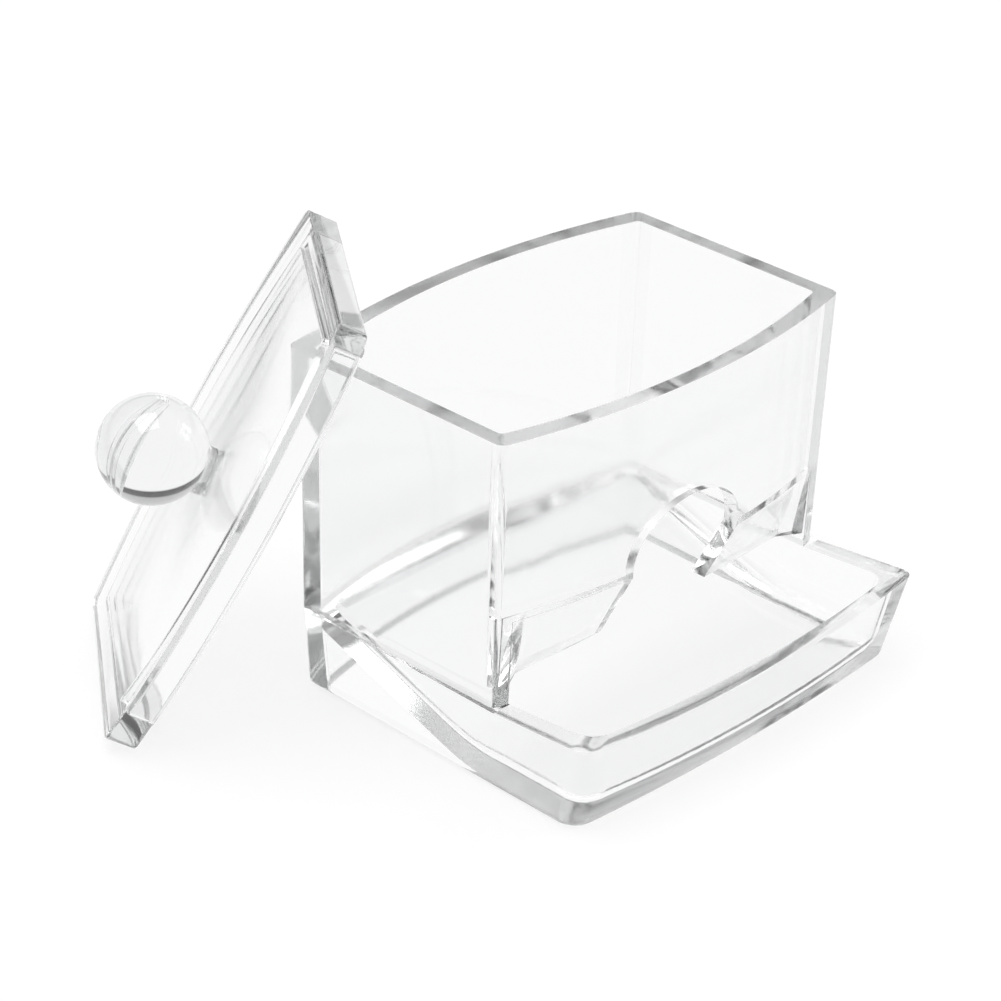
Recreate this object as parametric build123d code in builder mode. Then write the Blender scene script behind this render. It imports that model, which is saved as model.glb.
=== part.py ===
from build123d import *
from math import atan, cos, degrees, radians, sin, tan
import os

# Clear plastic dispenser for cotton pads and swabs, in millimetres.
# +Z is up and the open tray faces -Y.  The origin is the middle of the flat
# patch of the underside, on the table.

os.makedirs("parts", exist_ok=True)

# ---------------------------------------------------------------- bin walls
BIN_W = 100.0                 # over the two flat ends, at the top rim
BIN_D = 55.0                  # between the corners of the two bowed sides
BOW = 6.4                     # how far the front and the back swell out
BIN_H = 76.0                  # table to top rim
WALL = 3.6
DRAFT = 1.0                   # degrees, the bin narrows towards the table
CORNER_R = 2.2                # outer vertical corners
BIN_Y = 34.0                  # the bin's middle, behind the origin

# --------------------------------------------------------------- lower tub
SEAM_Z = 18.0                 # the walls are cemented on the tub here
TUB_LEAN = 6.0                # degrees, the skirt at the back
TUB_LEDGE = 0.3               # the tub stands out past the walls at the back
TRAY_FLARE = 1.3              # and by this much more at the tray's front
TRAY_REACH = 26.3             # front wall's corner to the tray's front corner
TRAY_BOW = 4.2
TRAY_RISE = 2.2               # the tray's rim climbs towards the front
TRAY_LEAN = 3.5               # the tray's front is set back at its foot
TRAY_SIDE_LEAN = 1.3          # and so are its sides
TRAY_WALL = 3.8
TRAY_CORNER_R = 5.5           # inside corners of the tray
FLOOR_T = 4.0
RAMP_SLOPE = 18.6             # degrees
RAMP_T = 3.6
CHUTE_R = 40.0                # the floor rises into the chute over this radius
SIDE_R = 5.0                  # chute and floor turn up into the side walls
FOOT_R = 2.0                  # rounding under the tray

# ------------------------------------------------------------------- mouth
THROAT_TOP = 36.5             # the front wall turns inwards here
THROAT_FOOT = 21.0            # and ends here, over the chute
THROAT_IN = 8.1               # the middle of its lower edge is this far inwards
THROAT_FLAT = 40.0            # that edge is nearly straight over this half width
THROAT_BOW = 1.0              # swelling this much, and then turns forward to the side walls
THROAT_STEP = 0.05            # the panel starts this far inside the wall's two faces
ARCH_W = 32.0                 # finger arch through the throat and the wall
ARCH_SPRING = 38.0            # its sides are straight up to here
ARCH_TOP = 50.0

# --------------------------------------------------------------------- lid
LID_T = 3.0                   # top plate
LID_SKIRT = 6.6               # depth of the lid's side
PLUG_DEPTH = 2.0
PLUG_T = 2.25
PLUG_GAP = 0.35               # plug to the inside of the bin
BALL_D = 22.6
BALL_LIFT = 12.1              # ball's middle over the lid's outer face
NECK_D = 10.0

# the lid is off, stood on one short end and leaning on the bin's rim
LEAN_YAW = 52.3               # heading of the lid's short edge, degrees
LEAN_TILT = 27.0              # how far it leans from upright
LEAN_V = -4.5                 # where the bin's corner touches, across the lid
LEAN_GAP = 0.3

# ----------------------------------------------------------------- derived
lid_rim = WALL + PLUG_GAP + PLUG_T        # the lid is solid out to the plug's inside
tan_draft = tan(radians(DRAFT))
half_w = BIN_W / 2
half_d = BIN_D / 2
seam_in = (BIN_H - SEAM_Z) * tan_draft
seam_w = half_w - seam_in                 # half width of the bin at the seam
seam_d = half_d - seam_in
lean_back = SEAM_Z * tan(radians(TUB_LEAN))
tub_w = seam_w + TUB_LEDGE                # tub at the seam, back corners
tub_wf = tub_w + TRAY_FLARE               # tub at the tray's front corners
tub_back = BIN_Y + seam_d + TUB_LEDGE
tray_front = BIN_Y - seam_d - TRAY_REACH
rim_front_z = SEAM_Z + TRAY_RISE
foot_w = tub_w - 0.6
foot_wf = tub_wf - TRAY_SIDE_LEAN
foot_back = tub_back - lean_back
foot_front = tray_front + TRAY_LEAN
foot_bow = TRAY_BOW / 2
slope = tan(radians(RAMP_SLOPE))
inside_w = seam_w - WALL
inside_back = BIN_Y + seam_d - WALL       # the chute's top end, at the back corners
inside_front = tray_front + TRAY_WALL
ramp_foot_y = inside_back - (SEAM_Z - FLOOR_T) / slope
ease = CHUTE_R * tan(radians(RAMP_SLOPE) / 2)   # the curve reaches this far from its corner
ease_y = ease * cos(radians(RAMP_SLOPE))
front_lean = degrees(atan(TRAY_LEAN / (SEAM_Z + TRAY_RISE)))
tray_r = (tub_wf ** 2 + TRAY_BOW ** 2) / (2 * TRAY_BOW)
throat_in = (BIN_H - THROAT_TOP) * tan_draft
throat_y = BIN_Y - half_d + throat_in - BOW + THROAT_STEP   # panel's outer face at its top
throat_t = WALL - 2 * THROAT_STEP
throat_w = inside_w + 1.0                         # the panel runs into the side walls
outer_r = ((half_w - throat_in) ** 2 + BOW ** 2) / (2 * BOW)
inner_r = ((half_w - throat_in - WALL) ** 2 + BOW ** 2) / (2 * BOW)
foot_r = (THROAT_FLAT ** 2 + THROAT_BOW ** 2) / (2 * THROAT_BOW)


def bowed(w_back, y_back, bow_back, w_front, y_front, bow_front, r_back, r_front):
    """Outline with straight ends and a front and a back that swell out."""
    with BuildSketch() as outline:
        with BuildLine():
            ThreePointArc((-w_front, y_front), (0, y_front - bow_front), (w_front, y_front))
            Line((w_front, y_front), (w_back, y_back))
            ThreePointArc((w_back, y_back), (0, y_back + bow_back), (-w_back, y_back))
            Line((-w_back, y_back), (-w_front, y_front))
        make_face()
        fillet(outline.vertices().group_by(Axis.Y)[0], r_front)
        fillet(outline.vertices().group_by(Axis.Y)[-1], r_back)
    return outline.sketch


def sag(radius, x):
    """How far an arc has fallen back at x from its middle."""
    return radius - (radius ** 2 - x ** 2) ** 0.5


def throat_band(near, near_r, far_r):
    """Cross-section of the throat's panel: two arcs, with straight flanks to the side walls."""
    far = near + throat_t
    near_y = near + sag(near_r, THROAT_FLAT)
    far_y = far + sag(far_r, THROAT_FLAT)
    end_y = throat_y + sag(outer_r, throat_w)
    with BuildSketch() as band:
        with BuildLine():
            ThreePointArc((-THROAT_FLAT, near_y), (0, near), (THROAT_FLAT, near_y))
            Polyline((THROAT_FLAT, near_y), (throat_w, end_y), (throat_w, end_y + throat_t),
                     (THROAT_FLAT, far_y))
            ThreePointArc((THROAT_FLAT, far_y), (0, far), (-THROAT_FLAT, far_y))
            Polyline((-THROAT_FLAT, far_y), (-throat_w, end_y + throat_t), (-throat_w, end_y),
                     (-THROAT_FLAT, near_y))
        make_face()
    return band.sketch


# ------------------------------------------------------------ 1. base tub
with BuildPart() as trough:
    # the side view of floor and chute, rounded along both sides
    far_y = ramp_foot_y + 80
    with BuildSketch(Plane.YZ):
        with BuildLine():
            Line((tray_front - 40, FLOOR_T), (ramp_foot_y - ease, FLOOR_T))
            TangentArc((ramp_foot_y - ease, FLOOR_T), (ramp_foot_y + ease_y, FLOOR_T + ease_y * slope),
                       tangent=(1, 0))
            Polyline((ramp_foot_y + ease_y, FLOOR_T + ease_y * slope), (far_y, FLOOR_T + 80 * slope),
                     (far_y, 60), (tray_front - 40, 60), (tray_front - 40, FLOOR_T))
        make_face()
    extrude(amount=inside_w, both=True)
    under_edge = trough.faces().filter_by(Axis.X).edges().filter_by(
        lambda e: e.center().Z < FLOOR_T + 40 * slope + 1 and abs(e.tangent_at(0.5).Y) > 0.5)
    fillet(under_edge, SIDE_R)

with BuildPart() as cavity:
    # inside of the tub, flush with the bin's inside: straight ends, bowed back ...
    with BuildSketch(Plane.XY.offset(SEAM_Z)):
        add(bowed(inside_w, inside_back, BOW, inside_w, tray_front - 30, BOW, 0.5, 0.5))
    extrude(amount=-(SEAM_Z - FLOOR_T), taper=DRAFT)
    with BuildSketch(Plane.XY.offset(SEAM_Z)):
        add(bowed(inside_w, inside_back, BOW, inside_w, tray_front - 30, BOW, 0.5, 0.5))
    extrude(amount=10)
    # ... and a bowed front that leans back towards its foot
    with BuildSketch(Plane.XY.offset(rim_front_z)) as front_rim:
        with BuildLine():
            far_w = 1.5 * tub_wf
            far_y = inside_front - TRAY_BOW + sag(tray_r, far_w)
            ThreePointArc((-far_w, far_y), (0, inside_front - TRAY_BOW), (far_w, far_y))
            Polyline((far_w, far_y), (far_w, tub_back + 30), (-far_w, tub_back + 30), (-far_w, far_y))
        make_face()
    extrude(amount=-(rim_front_z - FLOOR_T), taper=front_lean, mode=Mode.INTERSECT)
    upright = cavity.edges().filter_by(lambda e: abs(e.tangent_at(0.5).Z) > 0.7)
    fillet(upright.group_by(Axis.Y)[0], TRAY_CORNER_R)
    floor = cavity.faces().sort_by(Axis.Z)[0]
    fillet(floor.edges().filter_by(lambda e: e.center().Y < inside_back - 2), SIDE_R)
    # the chute: a trough with the same rounding, curving up out of the tray floor
    add(trough.part, mode=Mode.INTERSECT)

with BuildPart() as hollow:
    # the skirt stands on the table, open underneath behind the flat foot
    with BuildSketch(Plane.XY.offset(-1)):
        add(bowed(foot_w - WALL, foot_back - WALL, BOW, foot_w - WALL, foot_front, foot_bow, 2.0, 2.0))
    with BuildSketch(Plane.XY.offset(SEAM_Z)):
        add(bowed(tub_w - WALL, tub_back - WALL, BOW, tub_w - WALL, foot_front, foot_bow, 2.0, 2.0))
    loft()
    under = RAMP_T / cos(radians(RAMP_SLOPE))
    low_y = ramp_foot_y - (FLOOR_T - under) / slope
    low_ease = ease * (CHUTE_R + RAMP_T) / CHUTE_R
    low_ease_y = low_ease * cos(radians(RAMP_SLOPE))
    with BuildSketch(Plane.YZ):
        with BuildLine():
            TangentArc((low_y - low_ease, 0), (low_y + low_ease_y, low_ease_y * slope), tangent=(1, 0))
            Polyline((low_y + low_ease_y, low_ease_y * slope), (inside_back, SEAM_Z - under),
                     (tub_back + 30, SEAM_Z - under), (tub_back + 30, -2), (low_y - low_ease, -2),
                     (low_y - low_ease, 0))
        make_face()
    extrude(amount=BIN_W, both=True, mode=Mode.INTERSECT)

with BuildPart() as base_tray:
    with BuildSketch(Plane.XY):
        add(bowed(foot_w, foot_back, BOW, foot_wf, foot_front, foot_bow, 1.2, 5.5))
    with BuildSketch(Plane.XY.offset(rim_front_z)):
        add(bowed(tub_w, tub_back, BOW, tub_wf, tray_front, TRAY_BOW, CORNER_R, 3.0))
    loft()
    # the rim: level under the walls, climbing along the tray
    with BuildSketch(Plane.YZ):
        with BuildLine():
            Polyline((tub_back + 30, SEAM_Z), (BIN_Y - seam_d - 1.5, SEAM_Z),
                     (tray_front - 6, rim_front_z + 0.4), (tray_front - 6, 60),
                     (tub_back + 30, 60), close=True)
        make_face()
    extrude(amount=BIN_W, both=True, mode=Mode.SUBTRACT)
    foot_edge = base_tray.edges().filter_by_position(Axis.Z, -0.01, 0.01).sort_by(Axis.Y)[0:3]
    fillet(foot_edge, FOOT_R)
    add(cavity.part, mode=Mode.SUBTRACT)
    add(hollow.part, mode=Mode.SUBTRACT)

# ----------------------------------------------------------- 2. bin walls
with BuildPart() as bin_walls:
    with BuildSketch(Plane.XY.offset(BIN_H)):
        add(bowed(half_w, BIN_Y + half_d, BOW, half_w, BIN_Y - half_d, BOW, CORNER_R, CORNER_R))
    extrude(amount=-(BIN_H - SEAM_Z), taper=DRAFT)
    with BuildSketch(Plane.XY.offset(BIN_H)):
        add(bowed(half_w - WALL, BIN_Y + half_d - WALL, BOW, half_w - WALL, BIN_Y - half_d + WALL, BOW,
                  1.2, 1.2))
    extrude(amount=-(BIN_H - SEAM_Z), taper=DRAFT, mode=Mode.SUBTRACT)
    # the front wall stops at the throat
    with BuildSketch(Plane.XZ.offset(-BIN_Y)):
        with Locations((0, SEAM_Z - 5)):
            Rectangle(2 * inside_w, 2 * (THROAT_TOP - SEAM_Z + 5))
    extrude(amount=BIN_D, mode=Mode.SUBTRACT)
    # below it a panel leans inwards to a lower edge over the chute
    with BuildSketch(Plane.XY.offset(THROAT_TOP)):
        add(throat_band(throat_y, outer_r, inner_r))
    with BuildSketch(Plane.XY.offset(THROAT_FOOT)):
        add(throat_band(throat_y + THROAT_IN, foot_r, foot_r))
    loft()
    # finger arch
    with BuildSketch(Plane.XZ.offset(-BIN_Y)):
        with Locations((0, ARCH_SPRING)):
            Ellipse(ARCH_W / 2, ARCH_TOP - ARCH_SPRING)
        with Locations((0, SEAM_Z)):
            Rectangle(ARCH_W, 2 * (ARCH_SPRING - SEAM_Z))
    extrude(amount=BIN_D, mode=Mode.SUBTRACT)

# ---------------------------------------------------------------- 3. lid
yaw = radians(LEAN_YAW)
tilt = radians(LEAN_TILT)
lid_v = Vector(cos(yaw), sin(yaw), 0)                       # along the short edge
lid_n = Vector(-sin(yaw) * cos(tilt), cos(yaw) * cos(tilt), sin(tilt))
lid_u = lid_v.cross(lid_n)                                  # up the long edge
touch = Vector(-half_w + 0.6, BIN_Y + half_d - 0.4, BIN_H)
lean_up = (BIN_H + (LID_T + LEAN_GAP - LID_SKIRT) * lid_n.Z) / lid_u.Z - half_w
lid_mid = touch + lid_n * (LID_T + LEAN_GAP) - lid_u * lean_up - lid_v * LEAN_V
print("the bin's corner touches", round(lean_up, 1), "mm above the lid's middle")
face = Plane(origin=(lid_mid.X, lid_mid.Y, lid_mid.Z), x_dir=lid_u, z_dir=lid_n)

with BuildPart() as lid_cap:
    with BuildSketch(face.offset(-LID_SKIRT)):
        add(bowed(half_w, half_d, BOW, half_w, -half_d, BOW, CORNER_R, CORNER_R))
    extrude(amount=LID_SKIRT)
    with BuildSketch(face.offset(-LID_SKIRT)):
        inset = WALL + PLUG_GAP
        add(bowed(half_w - inset, half_d - inset, BOW, half_w - inset, -half_d + inset, BOW, 1.5, 1.5))
    extrude(amount=-PLUG_DEPTH)
    with BuildSketch(face.offset(-LID_T)):
        inset = lid_rim
        add(bowed(half_w - inset, half_d - inset, BOW, half_w - inset, -half_d + inset, BOW, 1.5, 1.5))
    extrude(amount=-(LID_SKIRT + PLUG_DEPTH), mode=Mode.SUBTRACT)

# --------------------------------------------------------------- 4. knob
ball_r = BALL_D / 2
neck_top = BALL_LIFT - (ball_r ** 2 - (NECK_D / 2) ** 2) ** 0.5
spin = Plane(origin=face.origin, x_dir=lid_u, z_dir=lid_u.cross(lid_n))
with BuildPart() as ball_knob:
    with BuildSketch(spin):
        with BuildLine():
            Polyline((0, BALL_LIFT + ball_r), (0, 0), (NECK_D / 2, 0), (NECK_D / 2, neck_top))
            ThreePointArc((NECK_D / 2, neck_top), (ball_r, BALL_LIFT), (0, BALL_LIFT + ball_r))
        make_face()
    revolve(axis=Axis((lid_mid.X, lid_mid.Y, lid_mid.Z), (lid_n.X, lid_n.Y, lid_n.Z)))

base_tray.part.label = "base_tray"
bin_walls.part.label = "bin_walls"
lid_cap.part.label = "lid_cap"
ball_knob.part.label = "ball_knob"
export_step(base_tray.part, "parts/base_tray.step")
export_step(bin_walls.part, "parts/bin_walls.step")
export_step(lid_cap.part, "parts/lid_cap.step")
export_step(ball_knob.part, "parts/ball_knob.step")
for piece in (base_tray, bin_walls, lid_cap, ball_knob):
    size = piece.part.bounding_box()
    print(piece.part.label, round(piece.part.volume), size.min, size.max)
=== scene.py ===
# %% [markdown]
# # A clear box for cotton pads, with its lid off
#
# The real object is four mouldings of clear plastic and nothing else: a lower
# tray, four walls on it, a cap for a lid and a ball to lift the cap by.  Every
# edge can be seen through every other, so the shapes come from the measured
# model, with their edges rounded a little, and the rest of the work here is in
# the plastic, the light and the view.

from math import cos, radians, sin

import bpy
from mathutils import Matrix, Vector


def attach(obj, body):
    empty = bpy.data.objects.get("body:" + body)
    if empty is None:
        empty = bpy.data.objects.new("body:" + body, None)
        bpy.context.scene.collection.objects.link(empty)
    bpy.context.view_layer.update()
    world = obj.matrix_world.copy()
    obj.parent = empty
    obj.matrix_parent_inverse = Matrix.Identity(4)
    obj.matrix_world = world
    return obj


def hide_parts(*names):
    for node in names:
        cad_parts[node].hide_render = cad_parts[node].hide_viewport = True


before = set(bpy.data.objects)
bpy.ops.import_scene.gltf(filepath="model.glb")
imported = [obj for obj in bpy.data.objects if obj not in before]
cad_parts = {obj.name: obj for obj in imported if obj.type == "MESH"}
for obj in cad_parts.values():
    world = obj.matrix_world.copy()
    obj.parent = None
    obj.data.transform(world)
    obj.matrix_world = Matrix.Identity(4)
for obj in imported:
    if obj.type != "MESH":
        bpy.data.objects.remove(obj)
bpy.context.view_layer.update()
MM = 0.001
for name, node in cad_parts.items():
    print(name, "has", len(node.data.polygons), "faces")

# %% [markdown]
# The photograph was taken from the left, a little above the box and from far
# off, with a long lens.  A camera fitted to the rim, the corner edges and the
# tray gives the numbers below.  The direction is kept as two angles and a small
# roll, because those are what a photographer would turn on a tripod.

# %% Set up the camera
CAMERA_PLACE = Vector((-452.7, -363.9, 364.2)) * MM
CAMERA_AZIMUTH = radians(47.6518)
CAMERA_DROP = radians(28.4621)
CAMERA_ROLL = radians(2.3018)
SENSOR = 36.0
LENS = 120.17
SHIFT_X = -0.01284
SHIFT_Y = -0.01304
SIGHT = 20.0                          # metres: past the far edge of the table


def camera_axes(azimuth, drop, roll):
    """The view's right, up and backward directions."""
    ahead = Vector((sin(azimuth) * cos(drop), cos(azimuth) * cos(drop), -sin(drop)))
    level = ahead.cross(Vector((0, 0, 1))).normalized()
    upright = level.cross(ahead)
    right = level * cos(roll) + upright * sin(roll)
    up = upright * cos(roll) - level * sin(roll)
    return right, up, -ahead


camera_data = bpy.data.cameras.new("view")
camera_data.sensor_width = SENSOR
camera_data.lens = LENS
camera_data.shift_x = SHIFT_X
camera_data.shift_y = SHIFT_Y
camera_data.clip_end = SIGHT
camera = bpy.data.objects.new("view", camera_data)
turn = Matrix(camera_axes(CAMERA_AZIMUTH, CAMERA_DROP, CAMERA_ROLL)).transposed()
camera.matrix_world = Matrix.LocRotScale(CAMERA_PLACE, turn.to_quaternion(), None)
bpy.context.scene.collection.objects.link(camera)
bpy.context.scene.camera = camera
print("the camera looks along", [round(v, 3) for v in -turn.col[2]])

# %% [markdown]
# Materials are written as sums.  `Socket` wraps one output of a node and knows
# how to add, take away and multiply, so `1 - mask` makes the Math node that it
# says.  `Finish` makes a material and any other node in it.

# %% Shader maths


class Socket:
    """One output of a node that can be used in sums."""

    def __init__(self, finish, socket):
        self.finish = finish
        self.socket = socket

    def sum_with(self, operation, first, second):
        return self.finish.node("ShaderNodeMath", {"operation": operation}, {0: first, 1: second})

    def __add__(self, other):
        return self.sum_with("ADD", self, other)

    def __radd__(self, other):
        return self.sum_with("ADD", other, self)

    def __sub__(self, other):
        return self.sum_with("SUBTRACT", self, other)

    def __rsub__(self, other):
        return self.sum_with("SUBTRACT", other, self)

    def __mul__(self, other):
        return self.sum_with("MULTIPLY", self, other)

    def __rmul__(self, other):
        return self.sum_with("MULTIPLY", other, self)


class Finish:
    """A node material, or the world's nodes."""

    def __init__(self, owner):
        owner.use_nodes = True
        self.owner = owner
        self.tree = owner.node_tree
        self.tree.nodes.clear()

    def node(self, kind, settings=None, inputs=None, output=0):
        """Adds a node: its settings first, then the values or links of its inputs."""
        made = self.tree.nodes.new(kind)
        for name, value in (settings or {}).items():
            setattr(made, name, value)
        for name, value in (inputs or {}).items():
            if isinstance(value, Socket):
                self.tree.links.new(value.socket, made.inputs[name])
            else:
                made.inputs[name].default_value = value
        return Socket(self, made.outputs[output]) if made.outputs else made


# %% [markdown]
# The plastic is clear, hard and glossy, with almost no colour of its own.  It
# could be faked with a half-transparent shader, but then no edge would show the
# bright and dark lines that bent light gives, and those lines are all that can
# be seen of the object.  So it is real refraction through closed solids.  The
# plastic also swallows a little light on the way: nothing to notice across one
# wall, but along a rim or a corner the light runs for centimetres inside, and
# that is why those show grey.  Two faint irregularities keep it from looking
# computed: the slow ripple that a moulded wall has, and a haze of rubbing marks.

# %% Clear plastic
PLASTIC_IOR = 1.49
POLISH = 0.045                        # a moulded surface is never a perfect mirror
SURFACE = (0.985, 0.988, 0.988, 1.0)  # hardly any light is lost in passing it
TINT = (0.90, 0.902, 0.902, 1.0)      # inside, the light takes about this colour
WALL_TINT = 38.0                      # ... after 1 m / 38 of the walls' plastic
TUB_TINT = 22.0                       # ... the lower moulding is clearer
RIPPLE_DEPTH = 0.6 * MM
RIPPLES = {"Scale": 28.0, "Detail": 1.0, "Roughness": 0.3}         # 36 mm long
RUBBING_MARKS = {"Scale": 420.0, "Detail": 4.0, "Roughness": 0.6}  # 2.4 mm and finer


def clear_plastic(name, ripple, rubbing, tint):
    """Colourless plastic with a slow ripple and fine rubbing marks."""
    finish = Finish(bpy.data.materials.new(name))
    place = finish.node("ShaderNodeTexCoord", output="Object")
    slow = finish.node("ShaderNodeTexNoise", None, {"Vector": place, **RIPPLES})
    fine = finish.node("ShaderNodeTexNoise", None, {"Vector": place, **RUBBING_MARKS})
    wave = {"Strength": ripple, "Distance": RIPPLE_DEPTH, "Height": slow}
    bump = finish.node("ShaderNodeBump", None, wave)
    surface = {
        "Base Color": SURFACE,
        "Roughness": fine * rubbing + POLISH,
        "IOR": PLASTIC_IOR,
        "Transmission Weight": 1.0,
        "Normal": bump,
    }
    shader = finish.node("ShaderNodeBsdfPrincipled", None, surface)
    depth = finish.node("ShaderNodeVolumeAbsorption", None, {"Color": TINT, "Density": tint})
    finish.node("ShaderNodeOutputMaterial", None, {"Surface": shader, "Volume": depth})
    print("made", name, "with a ripple of", ripple, "and rubbing of", rubbing)
    return finish.owner


# %% [markdown]
# The mouldings are not equally clear.  The walls and the lid are greyer than the
# lower moulding, and the solid ball is the smoothest, with no ripple.  A finish
# for each piece costs nothing, and it is matched to the photograph: the
# grey of the rims for the tint, and how soft the lines inside look for the
# rubbing.

# %% A finish for each moulding
plastics = {
    "bin_walls": clear_plastic("wall_plastic", ripple=0.014, rubbing=0.05, tint=WALL_TINT),
    "lid_cap": clear_plastic("lid_plastic", ripple=0.014, rubbing=0.04, tint=WALL_TINT),
    "base_tray": clear_plastic("tub_plastic", ripple=0.010, rubbing=0.05, tint=TUB_TINT),
    "ball_knob": clear_plastic("knob_plastic", ripple=0.0, rubbing=0.02, tint=WALL_TINT),
}
for name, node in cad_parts.items():
    node.data.materials.clear()
    node.data.materials.append(plastics[name])

# %% [markdown]
# No moulded or polished edge is really sharp.  On clear plastic the tiny
# rounding matters more than on anything else: it bends light far aside, and so
# it draws the fine dark and bright lines that outline the lid and the rim.  The
# measured meshes have sharp edges, so a copy of each is welded, its flat faces
# are joined up again, and every edge that turns by more than a set angle is
# bevelled.  The copies take the places of the measured pieces.  Large faces keep
# their true direction there, except on the lid, whose face runs into its rounded
# edges as a moulding that shrank a little does: that gives its soft streaks.

# %% Softly rounded edges
SHARP = radians(35)
SMOOTH = radians(40)
FLAT = radians(0.3)
WELD = 0.001 * MM
BEVEL_STEPS = 3
LARGE_FACES = 100                     # the heaviest weight: large faces stay true


def soften(name, width, true_faces):
    """A copy of a measured piece with its sharp edges rounded; it replaces the piece."""
    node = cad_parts[name]
    bpy.ops.object.select_all(action="DESELECT")
    piece = bpy.data.objects.new(name + "_soft", node.data.copy())
    bpy.context.scene.collection.objects.link(piece)
    piece.select_set(True)
    bpy.context.view_layer.objects.active = piece
    bpy.ops.mesh.customdata_custom_splitnormals_clear()
    bpy.ops.object.mode_set(mode="EDIT")
    bpy.ops.mesh.select_mode(type="EDGE")
    bpy.ops.mesh.select_all(action="SELECT")
    bpy.ops.mesh.remove_doubles(threshold=WELD)
    bpy.ops.mesh.dissolve_limited(angle_limit=FLAT)
    bpy.ops.mesh.select_all(action="DESELECT")
    bpy.ops.mesh.edges_select_sharp(sharpness=SHARP)
    bpy.ops.mesh.bevel(offset=width, segments=BEVEL_STEPS, affect="EDGES", clamp_overlap=True)
    bpy.ops.object.mode_set(mode="OBJECT")
    bpy.ops.object.shade_smooth_by_angle(angle=SMOOTH)
    if true_faces:
        bpy.ops.object.modifier_add(type="WEIGHTED_NORMAL")
        piece.modifiers[-1].weight = LARGE_FACES
        piece.modifiers[-1].keep_sharp = True
        bpy.ops.object.modifier_apply(modifier=piece.modifiers[-1].name)
    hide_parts(name)
    print(piece.name, "has", len(piece.data.polygons), "faces")
    return piece


# %% [markdown]
# Three pieces are rounded.  The lid's edges look the softest, and the tray's the
# sharpest.  The ball has no sharp edge that shows, so it stays the measured piece
# itself.  Each copy then rides with its body: the lid's goes where the lid goes.

# %% Round the lid, the walls and the tray
LID_EDGE = 0.6 * MM
WALL_EDGE = 0.5 * MM
TUB_EDGE = 0.4 * MM

dressed = {
    "lid_cap": soften("lid_cap", LID_EDGE, true_faces=False),
    "bin_walls": soften("bin_walls", WALL_EDGE, true_faces=True),
    "base_tray": soften("base_tray", TUB_EDGE, true_faces=True),
}
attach(dressed["lid_cap"], "lid")
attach(dressed["bin_walls"], "box")
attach(dressed["base_tray"], "box")

# %% [markdown]
# The walls are cemented to the tray.  Cement for clear plastic melts the two
# faces together, so light passes the joint as if it were one solid.  The two
# faces that meet there get a finish that lets light straight through.

# %% Cemented joint
SEAM_Z = 18.0 * MM
SEAM_SLACK = 0.01 * MM
LEVEL = 0.999                         # a face is level when its normal's z is over this
CEMENT = (0.98, 0.985, 0.985, 1.0)


def cement():
    """A joint that neither bends nor reflects light."""
    finish = Finish(bpy.data.materials.new("cement"))
    shader = finish.node("ShaderNodeBsdfPrincipled", None, {"Base Color": CEMENT, "Alpha": 0.0})
    finish.node("ShaderNodeOutputMaterial", None, {"Surface": shader})
    return finish.owner


joint = cement()
for name in ("base_tray", "bin_walls"):
    mesh = dressed[name].data
    mesh.materials.append(joint)
    joint_slot = len(mesh.materials) - 1
    joined = 0
    for face in mesh.polygons:
        level = abs(face.normal.z) > LEVEL
        if level and abs(face.center.z - SEAM_Z) < SEAM_SLACK:
            face.material_index = joint_slot
            joined += 1
    print(name, "has", joined, "cemented faces")

# %% [markdown]
# The table is white and runs out of sight.  Seen directly, in a gloss or through
# the plastic it has nearly its full white, as an overexposed table has, and a
# share of plain paint under that keeps the soft shadow of the box.

# %% Table
TABLE_SIZE = 12.0
TABLE_DROP = 0.2 * MM
WHITE = (1.0, 1.0, 1.0, 1.0)
PAINT = (0.9, 0.9, 0.9, 1.0)
FULL_WHITE = 0.80                     # share of full white; the rest is lit paint


def looked_at(finish):
    """1 where a surface is seen: directly, in a gloss or through the plastic."""
    seen = finish.node("ShaderNodeLightPath", output="Is Camera Ray")
    seen = seen + finish.node("ShaderNodeLightPath", output="Is Glossy Ray")
    return seen + finish.node("ShaderNodeLightPath", output="Is Transmission Ray")


bpy.ops.object.select_all(action="DESELECT")
bpy.ops.mesh.primitive_plane_add(size=TABLE_SIZE, location=(0, 0, -TABLE_DROP))
table = bpy.context.object
table.name = "table"
paper = Finish(bpy.data.materials.new("white_table"))
share = looked_at(paper) * FULL_WHITE
painted = paper.node("ShaderNodeBsdfDiffuse", None, {"Color": PAINT})
lit = paper.node("ShaderNodeEmission", None, {"Color": WHITE, "Strength": 1.0})
cover = paper.node("ShaderNodeMixShader", None, {0: share, 1: painted, 2: lit})
paper.node("ShaderNodeOutputMaterial", None, {"Surface": cover})
table.data.materials.append(paper.owner)
print("the table is", TABLE_SIZE, "m wide")

# %% [markdown]
# The room decides what the edges show.  White paper runs from the table up to
# a little over the horizon.  Past its upper edge, on the side that the camera
# looks to, there is first the dark gap behind the paper and then a grey wall,
# and from there on up the ceiling is light again.  The side behind the camera
# is all light.  The gap gives the near-black lines and the wall the grey bands,
# because an upright corner throws the view up and away to that side.

# %% The room's zones
LIGHT = 1.0
GAP = 0.07
WALL = 0.48
SOFT_LIGHT = 0.8                      # what falls on the table from all around

# Where each zone starts and where it is full, as sines of the elevation.
PAPER_END = (0.10, 0.15)
GAP_END = (0.27, 0.34)
WALL_END = (0.65, 0.85)

# The same for the far side, as the cosine of the angle from straight ahead.
FAR_SIDE = (0.0, 0.5)


def rise(room, value, span):
    """Climbs smoothly from 0 to 1 over a span of values."""
    ends = {"Value": value, "From Min": span[0], "From Max": span[1]}
    return room.node("ShaderNodeMapRange", {"interpolation_type": "SMOOTHSTEP"}, ends)


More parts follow.
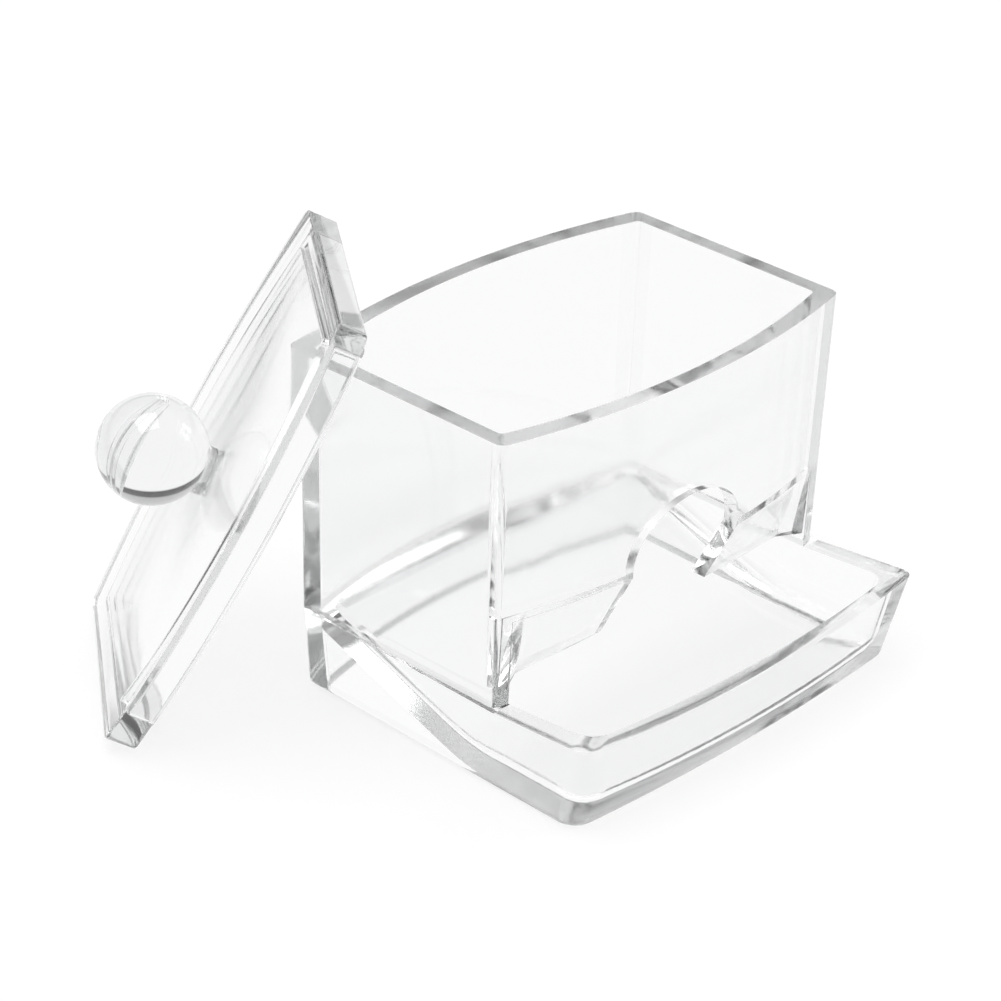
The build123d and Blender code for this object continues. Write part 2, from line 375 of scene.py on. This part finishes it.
# %% [markdown]
# The zones are painted on the world by direction alone, so they stay in place
# when the box is looked at from another side.  Only what is seen has them.  The
# light that falls on the table is even, because a dark wall there would tint
# the paint and add nothing to the plastic.

# %% World
world = bpy.data.worlds.new("studio")
bpy.context.scene.world = world
room = Finish(world)
direction = room.node("ShaderNodeTexCoord", output="Generated")
height = room.node("ShaderNodeSeparateXYZ", None, {"Vector": direction}, output="Z")
far_way = Vector((sin(CAMERA_AZIMUTH), cos(CAMERA_AZIMUTH), 0.0))
dot = {"operation": "DOT_PRODUCT"}
ahead = room.node("ShaderNodeVectorMath", dot, {0: direction, 1: far_way}, output="Value")
gap = rise(room, height, PAPER_END) - rise(room, height, GAP_END)
wall = rise(room, height, GAP_END) - rise(room, height, WALL_END)
darkness = gap * (LIGHT - GAP) + wall * (LIGHT - WALL)
shade = LIGHT - darkness * rise(room, ahead, FAR_SIDE)
seen = looked_at(room)
backdrop = room.node("ShaderNodeBackground", None, {"Color": WHITE, "Strength": shade})
soft = room.node("ShaderNodeBackground", None, {"Color": WHITE, "Strength": SOFT_LIGHT})
chosen = room.node("ShaderNodeMixShader", None, {0: seen, 1: soft, 2: backdrop})
room.node("ShaderNodeOutputWorld", None, {"Surface": chosen})
print("the world is", LIGHT, "with a far wall of", WALL, "and a gap of", GAP)

# %% [markdown]
# Two large soft lamps give the gentle highlights on the walls and the ball, and
# the soft shadow on the table.  They are weak, because the light room does most
# of the work.

# %% Lamps
LAMP_AIM = (0, 0, 0.04)               # the middle of the box


def softbox(name, place, size, power):
    """A square lamp, turned to the box."""
    lamp = bpy.data.lights.new(name, "AREA")
    lamp.size = size
    lamp.energy = power
    holder = bpy.data.objects.new(name, lamp)
    away = Vector(LAMP_AIM) - Vector(place)
    holder.rotation_euler = away.to_track_quat("-Z", "Y").to_euler()
    holder.location = place
    bpy.context.scene.collection.objects.link(holder)
    print(name, "is", size, "m wide and gives", power, "W")


softbox("top_light", place=(-0.2, 0.1, 0.9), size=0.6, power=4.0)
softbox("side_light", place=(0.8, -0.5, 0.6), size=0.5, power=2.5)

# %% [markdown]
# Light that enters an edge of clear plastic bounces inside it many times before
# it comes out.  Blender stops following it after a few bounces and paints black,
# so the number of bounces is raised until those false black spots are gone.

# %% Look
BOUNCES = 64
GLOSS_BOUNCES = 16

bpy.context.scene.view_settings.view_transform = "Standard"
bpy.context.scene.cycles.max_bounces = BOUNCES
bpy.context.scene.cycles.transmission_bounces = BOUNCES
bpy.context.scene.cycles.glossy_bounces = GLOSS_BOUNCES
print("light is followed for", BOUNCES, "bounces")
